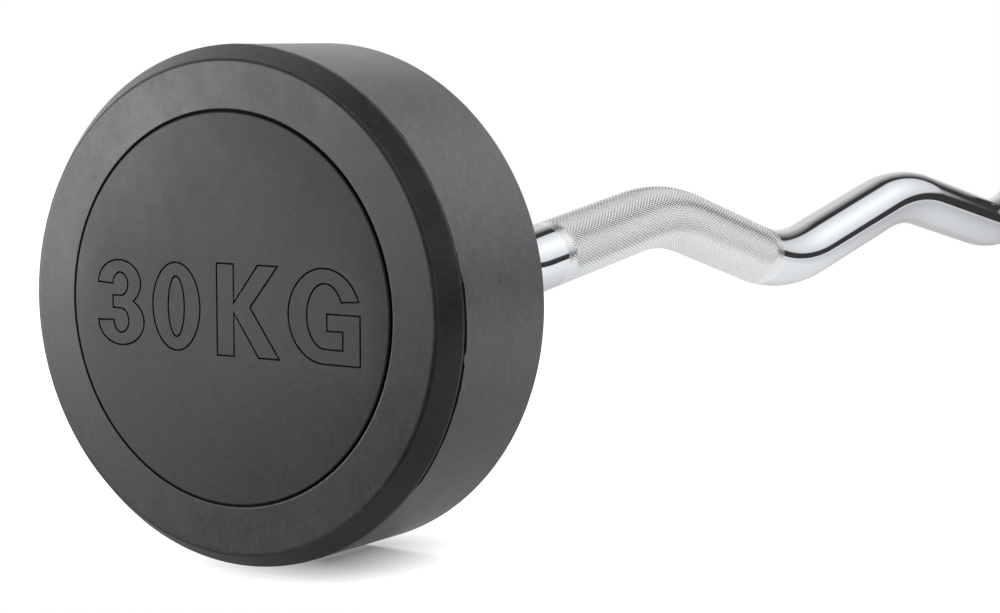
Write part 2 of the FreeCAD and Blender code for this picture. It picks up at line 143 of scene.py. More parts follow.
# Cut weight mark, in millimetres on the disc's face: arcs have a centre, half sizes, first and last angle
CUT_HALF_WIDTH = 0.34
CUT_DEPTH = 1.3
CUT_CORNER_LIMIT = 2.5
CUT_CORNER_LOW = 0.15
CURVE_STEP_DEGREES = 4
MARK_OUTLINES = {
    "three": [
        ("arc", (-49.5, 7.2), (10.0, 8.5), (180, -50)),
        ("arc", (-48.9, -6.9), (10.8, 8.9), (57, -180)),
        ("arc", (-48.9, -6.7), (3.5, 4.5), (-180, 90)),
        ("line", (-52.7, -2.1), (-52.7, 2.5)),
        ("arc", (-49.1, 6.8), (3.5, 4.3), (-90, 180)),
    ],
    "nought": [("arc", (-22.9, -0.1), (10.9, 16.1), (0, 360))],
    "nought_hole": [("arc", (-22.9, -0.1), (3.7, 11.0), (0, 360))],
    "k": [
        ("line", (-4.2, 16.6), (3.4, 16.6), (3.4, 2.6), (14.2, 16.6), (23.0, 16.6), (10.7, 1.3)),
        ("line", (23.6, -16.7), (14.4, -16.7), (3.4, -1.0), (3.4, -16.7), (-4.2, -16.7)),
    ],
    "g": [
        ("arc", (43.3, 0.0), (15.7, 16.9), (20, 270)),
        ("line", (58.6, -17.0), (58.6, 0.9), (44.4, 0.9), (44.4, -5.1), (51.2, -5.1), (51.2, -11.7)),
        ("arc", (43.6, 0.0), (7.9, 11.6), (270, 27)),
    ],
}

# Tints
WHITE_TINT = (1.0, 1.0, 1.0)
WARM_TINT = (1.0, 0.99, 0.97)
COOL_TINT = (0.97, 1.0, 1.03)
KEY_TINT = (1.0, 0.985, 0.966)

# Noise: the span that most of its values lie in, and its usual share of finer noise
NOISE_SPAN = (0.3, 0.7)
FINE_NOISE_SHARE = 0.5

# Sockets of a colour mix: how far it goes, its two colours, and what comes out
MIX_INPUTS = (0, 6, 7)
MIX_OUTPUT = 2

# Rubber: darkest and palest tone, smoothest and roughest polish, and cells of its streaks to the metre
DRUM_STREAK = (420.0, 320.0, 320.0)
EVEN_STREAK = (420.0, 420.0, 420.0)
RUBBER_LOOKS = {
    "drum_rubber": {
        "tone": (0.050, 0.084), "tint": COOL_TINT, "streak": DRUM_STREAK,
        "rough": (0.37, 0.45), "gloss": 0.40,
    },
    "ring_rubber": {
        "tone": (0.012, 0.043), "tint": WARM_TINT, "streak": EVEN_STREAK,
        "rough": (0.31, 0.41), "gloss": 0.33,
    },
    # A darker copy of the ring's rubber on the bevel: painted shade for its dark side
    "bevel_painted_shade_rubber": {
        "tone": (0.008, 0.022), "tint": WARM_TINT, "streak": EVEN_STREAK,
        "rough": (0.31, 0.37), "gloss": 0.36,
    },
    "disc_rubber": {
        "tone": (0.043, 0.069), "tint": COOL_TINT, "streak": EVEN_STREAK,
        "rough": (0.42, 0.50), "gloss": 0.25,
    },
    # A paler copy of the ring's rubber on the rounded face edge: painted light that fills in the edge's
    # shade
    "edge_painted_light_rubber": {
        "tone": (0.036, 0.064), "tint": WARM_TINT, "streak": EVEN_STREAK,
        "rough": (0.36, 0.44), "gloss": 0.33,
    },
    # Dark rubber without gloss in the gap round the disc and on the ring's bore wall: painted shade in the
    # gap
    "gap_painted_shade_rubber": {
        "tone": (0.018, 0.026), "tint": WARM_TINT, "streak": EVEN_STREAK,
        "rough": (0.8, 0.9), "gloss": 0.0,
    },
}
MOTTLE_SCALE = 110.0
MOTTLE_DETAIL = 6.0
MOTTLE_FINE_SHARE = 0.8
SMEAR_SCALE = 18.0
SMEAR_DETAIL = 3.0
STREAK_SCALE = 1.0
STREAK_DETAIL = 3.0
STREAK_WEIGHT = 2.0
CLOUDY_SPAN = (0.75, 1.25)
DRAWN_SPAN = (1.55, 2.45)
GRAIN_SCALE = 1800.0
GRAIN_DETAIL = 2.0
GRAIN_STRENGTH = 0.5
GRAIN_HEIGHT = 0.00003

# Chrome: tone, polish, and how much of the mirror's brightness is left at a grazing view
CHROME_LOOKS = {
    "bar_chrome": {"tone": (0.65, 0.667, 0.69, 1.0), "rough": (0.035, 0.06), "edge_share": 0.7},
    "crest_chrome": {"tone": (0.67, 0.682, 0.695, 1.0), "rough": (0.26, 0.34), "edge_share": 1.0},
    # The knurl's flanks: a darker copy of the crest chrome, painted shade in the grooves
    "knurl_flank_painted_shade_chrome": {"tone": (0.60, 0.612, 0.625, 1.0), "rough": (0.20, 0.28), "edge_share": 1.0},
}
HANDLING_SCALE = 45.0
HANDLING_DETAIL = 6.0

# Steel of the parts inside a head: tone, polish, and cells of its unevenness to the metre
STEEL_LOOKS = {
    "core_steel": {"tone": (0.10, 0.16), "rough": (0.45, 0.65), "scale": 120.0},
    "fastener_steel": {"tone": (0.30, 0.40), "rough": (0.25, 0.40), "scale": 300.0},
    "key_steel": {"tone": (0.24, 0.34), "rough": (0.30, 0.45), "scale": 400.0},
}
STEEL_DETAIL = 5.0
INNER_MATERIALS = {
    "head_core": "core_steel",
    "clamp_washer": "fastener_steel",
    "lock_washer": "fastener_steel",
    "retaining_bolt": "fastener_steel",
    "drive_key": "key_steel",
}

# Camera, in metres and degrees
CAMERA_PLACE = (-1.33573, -0.56641, 0.19469)
CAMERA_YAW = 31.80321
CAMERA_FALL = 6.14271
CAMERA_LENS = 92.28419
CAMERA_SENSOR = 36.0

# Lamps: aim, distance and size in metres, bearing and rise in degrees, and how bright they look
HEAD_AIM = (-0.577, 0.0, 0.1)
BAR_AIM = (-0.5, 0.0, 0.1)
LAMPS = {
    "key": {
        "aim": HEAD_AIM, "bearing": 129, "rise": 1.5, "far": 3.0, "size": (2.0, 0.8),
        "glow": 16.8, "tint": KEY_TINT, "mirrored": True,
    },
    "right": {
        "aim": HEAD_AIM, "bearing": -65, "rise": 56, "far": 2.0, "size": (1.4, 1.4),
        "glow": 7.8, "tint": WHITE_TINT, "mirrored": False,
    },
    "top": {
        "aim": BAR_AIM, "bearing": 0, "rise": 75, "far": 1.8, "size": (1.6, 1.6),
        "glow": 0.9, "tint": WHITE_TINT, "mirrored": True,
    },
}

# Room: its dim light, a soft round lamp, and fading pale walls behind and beside the bar, in degrees
ROOM_LIGHT = 0.06
SOFT_LAMP_LIGHT = (1.65, 1.05)
SOFT_LAMP_BEARING = -26.0
SOFT_LAMP_RISE = 28.5
SOFT_LAMP_EDGE = (22.5, 25.0)
RIGHT_WALL_LIGHT = 1.0
RIGHT_WALL_EDGES = ((-113.0, -96.0), (-62.0, -48.0))
RIGHT_WALL_FOOT = (0.0, 8.0)
WALL_LIGHT = 1.15
WALL_EDGE = (-3.0, 17.0)
WALL_LEAN_SHARE = 0.45
WALL_LEAN_FROM = 8.0
WALL_FAR_EDGE = (95.0, 125.0)
WALL_TOP = (60.0, 85.0)

# Floor, in metres: its reach and tone, and how white it looks, and mirrors, near a head and further off. Its
# glow is turned down beside each head as a painted shadow, and in mirrors it is painted darker near the
# heads and towards the back.
FLOOR_REACH = {"x": (-0.64, 0.85), "y": (-0.7, 4.0)}
FLOOR_TONE = 0.33
FLOOR_WHITE = (0.18, 1.0)
FLOOR_MIRRORED = (0.3, 0.78)
FLOOR_BACK_PAINTED_SHADE_SHARES = (1.0, 0.52)
FLOOR_BACK_PAINTED_SHADE_REACH = (0.05, 0.4)
PAINTED_SHADOW_PLACE = (0.559, -0.021)
PAINTED_SHADOW_HALF_WIDTH = 0.0175
PAINTED_SHADOW_REACH = (0.0, 0.05)
MIRROR_PAINTED_SHADE_REACH = (0.12, 0.45)

# One run of the bar's centre line, and one row of points round the bar
Run = namedtuple("Run", "start heading curvature length")
Row = namedtuple("Row", "length radius grip")


def add_node(tree, kind, inputs=None, **settings):
    """One node with its settings and its input values or links."""
    node = tree.nodes.new(kind)
    for name, value in settings.items():
        setattr(node, name, value)
    for name, value in (inputs or {}).items():
        if isinstance(value, bpy.types.NodeSocket):
            tree.links.new(value, node.inputs[name])
        else:
            node.inputs[name].default_value = value
    return node


def grey(tone, tint=WHITE_TINT):
    """An opaque colour of one tone, leaning to a tint."""
    return (tone * tint[0], tone * tint[1], tone * tint[2], 1.0)


def new_material(name):
    """A material with its tree, its shader and the object's own coordinates."""
    material = bpy.data.materials.new(name)
    material.use_nodes = True
    tree = material.node_tree
    place = add_node(tree, "ShaderNodeTexCoord").outputs["Object"]
    return material, tree, tree.nodes["Principled BSDF"], place


def noise(tree, place, scale, detail, stretch=None, fine_share=FINE_NOISE_SHARE):
    """Noise of so many cells to the metre, drawn out where stretched, with a share of finer noise in it."""
    if stretch:
        place = add_node(tree, "ShaderNodeMapping", {"Vector": place, "Scale": stretch}).outputs["Vector"]
    inputs = {"Vector": place, "Scale": scale, "Detail": detail, "Roughness": fine_share}
    return add_node(tree, "ShaderNodeTexNoise", inputs).outputs["Fac"]


def spread(tree, value, low, high, start=NOISE_SPAN[0], end=NOISE_SPAN[1], soft=False):
    """A value taken from the range start to end into low to high, evenly or with soft ends."""
    inputs = {"Value": value, "From Min": start, "From Max": end, "To Min": low, "To Max": high}
    run = "SMOOTHSTEP" if soft else "LINEAR"
    return add_node(tree, "ShaderNodeMapRange", inputs, interpolation_type=run).outputs["Result"]


def mix_colours(tree, share, low, high):
    """A colour between two, by a share."""
    inputs = dict(zip(MIX_INPUTS, (share, low, high)))
    return add_node(tree, "ShaderNodeMix", inputs, data_type="RGBA").outputs[MIX_OUTPUT]


def calculate(tree, operation, first, second=0.0):
    """One sum on two values."""
    return add_node(tree, "ShaderNodeMath", {0: first, 1: second}, operation=operation).outputs[0]


def make_rubber(name, look):
    """Moulded rubber with soft mottling, faint smears and streaks, and fine grain."""
    material, tree, shader, place = new_material(name)
    mottle = noise(tree, place, MOTTLE_SCALE, MOTTLE_DETAIL, fine_share=MOTTLE_FINE_SHARE)
    smear = noise(tree, place, SMEAR_SCALE, SMEAR_DETAIL)
    streak = noise(tree, place, STREAK_SCALE, STREAK_DETAIL, look["streak"], fine_share=MOTTLE_FINE_SHARE)
    grain = noise(tree, place, GRAIN_SCALE, GRAIN_DETAIL)
    low, high = (grey(tone, look["tint"]) for tone in look["tone"])
    shader.inputs["Specular IOR Level"].default_value = look["gloss"]
    cloudy = calculate(tree, "ADD", mottle, smear)
    drawn = calculate(tree, "ADD", cloudy, calculate(tree, "MULTIPLY", streak, STREAK_WEIGHT))
    share = spread(tree, drawn, 0.0, 1.0, *DRAWN_SPAN)
    tree.links.new(mix_colours(tree, share, low, high), shader.inputs["Base Color"])
    tree.links.new(spread(tree, cloudy, *look["rough"], *CLOUDY_SPAN), shader.inputs["Roughness"])
    inputs = {"Height": grain, "Strength": GRAIN_STRENGTH, "Distance": GRAIN_HEIGHT}
    bump = add_node(tree, "ShaderNodeBump", inputs)
    tree.links.new(bump.outputs["Normal"], shader.inputs["Normal"])
    return material


def make_chrome(name, look):
    """Bright chrome plate with faint handling marks."""
    material, tree, shader, place = new_material(name)
    shader.inputs["Base Color"].default_value = look["tone"]
    shader.inputs["Metallic"].default_value = 1.0
    shader.inputs["Specular Tint"].default_value = grey(look["edge_share"])
    marks = noise(tree, place, HANDLING_SCALE, HANDLING_DETAIL)
    tree.links.new(spread(tree, marks, *look["rough"]), shader.inputs["Roughness"])
    return material


def make_steel(name, look):
    """Plain steel with uneven tone and polish."""
    material, tree, shader, place = new_material(name)
    shader.inputs["Metallic"].default_value = 1.0
    uneven = noise(tree, place, look["scale"], STEEL_DETAIL)
    low, high = (grey(tone) for tone in look["tone"])
    share = spread(tree, uneven, 0.0, 1.0)
    tree.links.new(mix_colours(tree, share, low, high), shader.inputs["Base Color"])
    tree.links.new(spread(tree, uneven, *look["rough"]), shader.inputs["Roughness"])
    return material


def make_materials():
    """Every material of the bar by name."""
    made = {name: make_rubber(name, look) for name, look in RUBBER_LOOKS.items()}
    made.update({name: make_chrome(name, look) for name, look in CHROME_LOOKS.items()})
    made.update({name: make_steel(name, look) for name, look in STEEL_LOOKS.items()})
    return made


def add_piece(name, points, faces, materials, node, plain=None, ids=None):
    """One piece from points in millimetres; plain marks the faces that stay flat, ids their materials."""
    mesh = bpy.data.meshes.new(name)
    mesh.from_pydata([[value * MM for value in point] for point in points], [], faces)
    for material in materials:
        mesh.materials.append(material)
    flat = plain or [False] * len(faces)
    mesh.polygons.foreach_set("use_smooth", [not is_flat for is_flat in flat])
    if ids:
        mesh.polygons.foreach_set("material_index", ids)
    made = bmesh.new()
    made.from_mesh(mesh)
    bmesh.ops.recalc_face_normals(made, faces=made.faces)
    made.to_mesh(mesh)
    made.free()
    mesh.set_sharp_from_angle(angle=math.radians(SHARP_EDGE_DEGREES))
    piece = bpy.data.objects.new(name, mesh)
    bpy.context.scene.collection.objects.link(piece)
    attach(piece, "root")
    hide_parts(node)


def bar_runs():
    """Straight runs and tangent bends of the bar's centre line."""
    half = list(zip(BEND_CORNERS, BEND_RADII))
    whole = [((-x, z), radius) for (x, z), radius in reversed(half[1:])] + half
    corners = [Vector((-SPIGOT_END, 0.0)), *(Vector(corner) for corner, radius in whole)]
    corners.append(Vector((SPIGOT_END, 0.0)))
    radii = [radius for corner, radius in whole]
    runs = []
    here = corners[0]
    for before, corner, after, radius in zip(corners, corners[1:], corners[2:], radii):
        along = (corner - before).normalized()
        onward = (after - corner).normalized()
        heading = math.atan2(along.y, along.x)
        turn = math.atan2(onward.y, onward.x) - heading
        reach = radius * math.tan(abs(turn) / 2)
        start = corner - along * reach
        runs.append(Run(here, heading, 0.0, (start - here).length))
        runs.append(Run(start, heading, math.copysign(1 / radius, turn), radius * abs(turn)))
        here = corner + onward * reach
    last = corners[-1] - here
    runs.append(Run(here, math.atan2(last.y, last.x), 0.0, last.length))
    return runs


def along_run(run, length):
    """Point and heading at a length along one run."""
    heading = run.heading
    if not run.curvature:
        return run.start + Vector((math.cos(heading), math.sin(heading))) * length, heading
    turned = heading + run.curvature * length
    across = Vector((math.sin(turned) - math.sin(heading), math.cos(heading) - math.cos(turned)))
    return run.start + across / run.curvature, turned


def along_bar(runs, length):
    """Point and heading at a length along the whole bar."""
    for run in runs[:-1]:
        if length <= run.length:
            return along_run(run, length)
        length -= run.length
    return along_run(runs[-1], length)


def length_at(runs, offset):
    """Length along the bar where its centre line reaches an offset from the middle."""
    low, high = 0.0, sum(run.length for run in runs)
    while high - low > FINE_TOLERANCE:
        middle = (low + high) / 2
        if along_bar(runs, middle)[0].x < offset:
            low = middle
        else:
            high = middle
    return (low + high) / 2


def plain_rows(runs, first, last):
    """The plain rows between two lengths along the bar, closer together in the bends."""
    rows = []
    start = 0.0
    for run in runs:
        step = BEND_ROW_STEP if run.curvature else RUN_ROW_STEP
        count = max(1, math.ceil(run.length / step))
        rows += [start + run.length * row / count for row in range(count)]
        start += run.length
    inside = [row for row in rows if first + NEAR_POINT < row < last - NEAR_POINT]
    return [Row(row, BAR_RADIUS, None) for row in inside]


def bar_rows(runs):
    """Rows of the bar: length along it, radius, and in a grip the rows from its start and to its end."""
    whole = sum(run.length for run in runs)
    step_in = SPIGOT_END - SHOULDER_OFFSET
    first = step_in + SHOULDER_ROUND
    end_rows = [
        (0.0, SPIGOT_RADIUS - SPIGOT_CHAMFER),
        (SPIGOT_CHAMFER, SPIGOT_RADIUS),
        (step_in, SPIGOT_RADIUS),
        (step_in, BAR_RADIUS - SHOULDER_ROUND),
        (first, BAR_RADIUS),
    ]
    made = [Row(length, radius, None) for length, radius in end_rows]
    grips = [(-GRIP_OUTER_OFFSET, -GRIP_INNER_OFFSET), (GRIP_INNER_OFFSET, GRIP_OUTER_OFFSET)]
    for low, high in grips:
        start, end = length_at(runs, low), length_at(runs, high)
        made += plain_rows(runs, first, start)
        count = round((end - start) / KNURL_ROW_STEP)
        for row in range(count + 1):
            made.append(Row(start + (end - start) * row / count, BAR_RADIUS, (row, count - row)))
        first = end
    made += plain_rows(runs, first, whole - step_in - SHOULDER_ROUND)
    made += [Row(whole - length, radius, None) for length, radius in reversed(end_rows)]
    return made


def is_crest(grip, column):
    """Whether a node of the knurl is the middle of a raised diamond."""
    return bool((grip[0] + column) % 2)


def knurl_cut(grip, column, starts):
    """How deep a node of the knurl is cut: nothing on the crests, and less at the grip's uneven ends."""
    if not grip or is_crest(grip, column):
        return 0.0
    inside = min(grip[0] - starts[0][column], grip[1] - starts[1][column])
    return KNURL_DEPTH * min(max(inside / KNURL_FADE_ROWS, 0.0), 1.0)


def bar_point(runs, length, column, radius):
    """A point of the bar's skin from its length along the bar, column and radius."""
    middle, heading = along_bar(runs, length)
    angle = FULL_TURN * column / BAR_COLUMNS
    up = radius * math.sin(angle)
    z = AXIS_HEIGHT + middle.y + up * math.cos(heading)
    return (middle.x - up * math.sin(heading), radius * math.cos(angle), z)


def bar_nodes(runs, rows):
    """Points of the bar's skin and their numbers by row and column, without the tops of the diamonds."""
    draws = random.Random(KNURL_SEED)
    starts = [[draws.uniform(0.0, KNURL_RAGGED_ROWS) for column in range(BAR_COLUMNS)] for end in SIDES]
    points, nodes = [], {}
    for number, (length, radius, grip) in enumerate(rows):
        for column in range(BAR_COLUMNS):
            if not grip or not all(grip) or not is_crest(grip, column):
                nodes[number, column] = len(points)
                points.append(bar_point(runs, length, column, radius - knurl_cut(grip, column, starts)))
    return points, nodes


def diamond_top(runs, rows, number, column):
    """Corners of the crowned top of a raised diamond."""
    row = rows[number]
    step = (rows[number + 1].length - rows[number - 1].length) / 2 * KNURL_FLAT_SHARE
    edge = row.radius - KNURL_CROWN
    spots = [(-step, 0.0, row.radius), (0.0, KNURL_FLAT_SHARE, edge)]
    spots += [(step, 0.0, row.radius), (0.0, -KNURL_FLAT_SHARE, edge)]
    return [bar_point(runs, row.length + along, column + over, radius) for along, over, radius in spots]


def make_bar(materials):
    """The bent bar with plain chrome between and beside two diamond knurled grips."""
    runs = bar_runs()
    rows = bar_rows(runs)
    points, nodes = bar_nodes(runs, rows)
    faces, plain, ids = [], [], []

    def add_faces(made, are_flat, skin):
        faces.extend(made)
        plain.extend([are_flat] * len(made))
        ids.extend([skin] * len(made))

    for number, row in enumerate(rows):
        grip = row.grip
        for column in range(BAR_COLUMNS):
            before, after = (column - 1) % BAR_COLUMNS, (column + 1) % BAR_COLUMNS
            if number + 1 < len(rows) and not (grip and rows[number + 1].grip):
                corners = [(number, column), (number + 1, column), (number + 1, after), (number, after)]
                add_faces([tuple(nodes[corner] for corner in corners)], False, PLAIN_SKIN)
            if not grip or not is_crest(grip, column):
                continue
            around = [(number - 1, column), (number, after), (number + 1, column), (number, before)]
            if all(grip):
                base = [nodes[node] for node in around]
                top = [len(points) + corner for corner in range(len(base))]
                points += diamond_top(runs, rows, number, column)
                add_faces([(top[0], top[1], top[2]), (top[2], top[3], top[0])], True, CREST_SKIN)
                flanks = list(zip(base, base[1:] + base[:1], top[1:] + top[:1], top))
                add_faces(flanks, True, FLANK_PAINTED_SHADE_SKIN)
                continue
            inner = nodes[around[0] if grip[0] else around[2]]
            middle = nodes[number, column]
            halves = [(nodes[around[1]], middle, inner), (nodes[around[3]], inner, middle)]
            add_faces(halves, True, CREST_SKIN)
    for number in (0, len(rows) - 1):
        add_faces([tuple(nodes[number, column] for column in range(BAR_COLUMNS))], True, PLAIN_SKIN)
    skins = [materials[finish] for finish in BAR_FINISHES]
    add_piece("ez_bar_knurled", points, faces, skins, "ez_bar", plain, ids)


def head_point(side, depth, across, up):
    """A point of a head from its depth past the back face and its place on the face as read."""
    return (SIDES[side] * (BACK_OFFSET + depth), SIDES[side] * across, AXIS_HEIGHT + up)


def round_edge(depth, radius, edge, first, last):
    """Points of a rounded edge about a centre, between two angles in degrees, with a support at each end."""
    points = []
    for step in range(EDGE_STEPS + 1):
        angle = math.radians(first + (last - first) * step / EDGE_STEPS)
        points.append((depth + edge * math.cos(angle), radius + edge * math.sin(angle)))
    sense = math.copysign(EDGE_SUPPORT, last - first)
    before, after = math.radians(first), math.radians(last)
    lead = (points[0][0] + sense * math.sin(before), points[0][1] - sense * math.cos(before))
    trail = (points[-1][0] - sense * math.sin(after), points[-1][1] + sense * math.cos(after))
    return [lead, *points, trail]


def lathe(side, outline, segments):
    """A closed outline of depths and radii, given for each angle, turned about the axis."""
    points, faces = [], []
    for step in range(segments):
        angle = FULL_TURN * step / segments
        ring = outline(angle)
        for depth, radius in ring:
            points.append(head_point(side, depth, radius * math.cos(angle), radius * math.sin(angle)))
    count = len(ring)
    for step in range(segments):
        here, there = step * count, (step + 1) % segments * count
        for row in range(count):
            after = (row + 1) % count
            faces.append((here + row, here + after, there + after, there + row))
    return points, faces


def uneven_line(draws, swing):
    """Terms of an uneven line round the drum: number of waves, height and start."""
    terms = []
    for count in SEAM_WAVES:
        height = swing * draws.uniform(*SEAM_WAVE_SHARES)
        terms.append((count, height, draws.uniform(0.0, FULL_TURN)))
    return terms


def line_height(terms, angle):
    """Height of an uneven line at an angle."""
    return sum(height * math.sin(count * angle + start) for count, height, start in terms)


def seam_depth(angle):
    """Depth of the moulding line, which drifts towards the back on one side."""
    return SEAM_DEPTH - SEAM_DRIFT * max(0.0, math.cos(angle - SEAM_DRIFT_SIDE)) ** SEAM_DRIFT_POWER


def seam_opening(angle):
    """How far the moulding line stands open: along one stretch of the rim, with one bridge across it."""
    turned = math.degrees(math.remainder(angle, FULL_TURN))
    low, high = SEAM_OPEN_STRETCH
    inside = min(turned - low, high - turned, SEAM_BRIDGE_STEEPNESS * abs(turned - SEAM_BRIDGE))
    return SEAM_OPEN_GAP * min(max(inside / SEAM_OPEN_FADE, 0.0), 1.0)


def make_drum(side, materials, draws):
    """The rubber jacket of a drum: its cylinder, rounded back, hub hole and uneven moulded rim."""
    gaps = uneven_line(draws, SEAM_GAP_SWING)
    lips = uneven_line(draws, SEAM_LIP_SWING)
    back = round_edge(BACK_EDGE_RADIUS, DRUM_RADIUS - BACK_EDGE_RADIUS, BACK_EDGE_RADIUS, 90, 180)
    hub = round_edge(HUB_EDGE_RADIUS, HUB_RADIUS + HUB_EDGE_RADIUS, HUB_EDGE_RADIUS, 180, 270)
    inside = [(BACK_THICKNESS, HUB_RADIUS), (BACK_THICKNESS, BORE_RADIUS), (SEAM_DEPTH, BORE_RADIUS)]

    def outline(angle):
        gap = max(SEAM_GAP_LOW, SEAM_GAP + seam_opening(angle) + line_height(gaps, angle))
        lip = max(0.0, SEAM_LIP + line_height(lips, angle))
        edge = seam_depth(angle) - gap
        rim = [
            (seam_depth(angle), DRUM_RADIUS - SEAM_GAP_DEPTH),
            (edge, DRUM_RADIUS - SEAM_GAP_DEPTH + SEAM_ROUND),
            (edge, DRUM_RADIUS - SEAM_ROUND),
            (edge - SEAM_ROUND, DRUM_RADIUS + lip),
            (edge - SEAM_LIP_WIDTH, DRUM_RADIUS + lip),
            (edge - 2 * SEAM_LIP_WIDTH, DRUM_RADIUS),
            (edge - 2 * SEAM_LIP_WIDTH - EDGE_SUPPORT, DRUM_RADIUS),
        ]
        return [*rim, *back, *hub, *inside]

    points, faces = lathe(side, outline, DRUM_SEGMENTS)
    name, node = f"{side}_drum_moulded", f"{side}_drum_jacket"
    add_piece(name, points, faces, [materials["drum_rubber"]], node)


def make_ring(side, materials):
    """The front ring of a head: its narrow land, bevel, rounded face edge, flat face and bore."""
    inner = RING_BORE_RADIUS + RING_EDGE_RADIUS
    bore = round_edge(FACE_DEPTH - RING_EDGE_RADIUS, inner, RING_EDGE_RADIUS, 0, -90)

    def outline(angle):
        seam = seam_depth(angle)
        bevel_start = seam + RING_LAND
        slope = math.atan2(FACE_DEPTH - bevel_start, BEVEL_DROP)
        centre = DRUM_RADIUS - BEVEL_DROP - FACE_EDGE_RADIUS * math.tan(slope / 2)
        face = round_edge(FACE_DEPTH - FACE_EDGE_RADIUS, centre, FACE_EDGE_RADIUS, math.degrees(slope), 0)
        reach = SEAM_ROUND + EDGE_SUPPORT
        rear = [
            (SEAM_DEPTH, RING_BORE_RADIUS),
            (SEAM_DEPTH, BORE_RADIUS),
            (seam, DRUM_RADIUS - SEAM_GAP_DEPTH),
            (seam, DRUM_RADIUS - SEAM_ROUND),
            (seam + SEAM_ROUND, DRUM_RADIUS),
            (bevel_start - SEAM_ROUND, DRUM_RADIUS),
            (bevel_start + SEAM_ROUND, DRUM_RADIUS - SEAM_ROUND / math.tan(slope)),
            (bevel_start + reach, DRUM_RADIUS - reach / math.tan(slope)),
        ]
        return [*rear, *face, *bore]

    points, faces = lathe(side, outline, DRUM_SEGMENTS)
    # The ring's finish rows paint light and shade: a darker bevel, a paler rounded face edge, and a dark
    # bore wall in the gap
    ids = [0] * (len(points) // DRUM_SEGMENTS)
    for skin, (first, end) in enumerate(RING_FINISH_ROWS.values(), start=1):
        ids[first:end] = [skin] * (end - first)
    name, node = f"{side}_ring_moulded", f"{side}_front_ring"
    skins = [materials[finish] for finish in ("ring_rubber", *RING_FINISH_ROWS)]
    add_piece(name, points, faces, skins, node, ids=ids * DRUM_SEGMENTS)


def mark_line(items):
    """The points of one closed outline of the mark."""
    points = []
    for kind, *values in items:
        if kind == "line":
            points += [Vector(value) for value in values]
            continue
        centre, half, (first, last) = values
        count = max(1, round(abs(last - first) / CURVE_STEP_DEGREES))
        for step in range(count + 1):
            angle = math.radians(first + (last - first) * step / count)
            across = centre[0] + half[0] * math.cos(angle)
            up = centre[1] + half[1] * math.sin(angle)
            points.append(Vector((across, up)))
    pairs = zip(points, points[-1:] + points)
    return [point for point, before in pairs if (point - before).length > NEAR_POINT]


def beside_line(points, offset):
    """A closed line moved sideways by an offset."""
    moved = []
    count = len(points)
    for number, point in enumerate(points):
        before = (point - points[number - 1]).normalized()
        after = (points[(number + 1) % count] - point).normalized()
        sides = [Vector((-way.y, way.x)) for way in (before, after)]
        lean = (sides[0] + sides[1]) / max(1 + sides[0].dot(sides[1]), CUT_CORNER_LOW)
        if lean.length > CUT_CORNER_LIMIT:
            lean = lean.normalized() * CUT_CORNER_LIMIT
        moved.append(point + lean * offset)
    return moved


def disc_face(side, turns):
    """The flat face of a disc with its cut mark: its points, its faces, and which points are its rim."""
    rim_line = []
    for turn in turns:
        rim_line.append(Vector((DISC_FLAT_RADIUS * math.cos(turn), DISC_FLAT_RADIUS * math.sin(turn))))
    loops = [(rim_line, 0.0)]
    for items in MARK_OUTLINES.values():
        line = mark_line(items)
        loops += [(beside_line(line, CUT_HALF_WIDTH), 0.0), (line, CUT_DEPTH)]
        loops.append((beside_line(line, -CUT_HALF_WIDTH), 0.0))
    spots, joins, depths = [], [], []
    for loop, depth in loops:
        start, count = len(spots), len(loop)
        spots += loop
        depths += [depth] * count
        joins += [(start + number, start + (number + 1) % count) for number in range(count)]
    found = geometry.delaunay_2d_cdt(spots, joins, [], 0, FINE_TOLERANCE)
    spots, faces, sources = found[0], [tuple(face) for face in found[2]], found[3]
    points, rim = [], {}
    for place, (spot, source) in enumerate(zip(spots, sources)):
        depth = max((depths[number] for number in source), default=0.0)
        points.append(head_point(side, DISC_FACE_DEPTH - depth, spot.x, spot.y))
        rim.update({number: place for number in source if number < DISC_SEGMENTS})
    return points, faces, [rim[number] for number in range(DISC_SEGMENTS)]


def glue_rise(turn):
    """How much higher the glue stands in the disc's gap on one side."""
    return GLUE_RISE * max(0.0, math.cos(turn - GLUE_RISE_SIDE)) ** GLUE_RISE_POWER


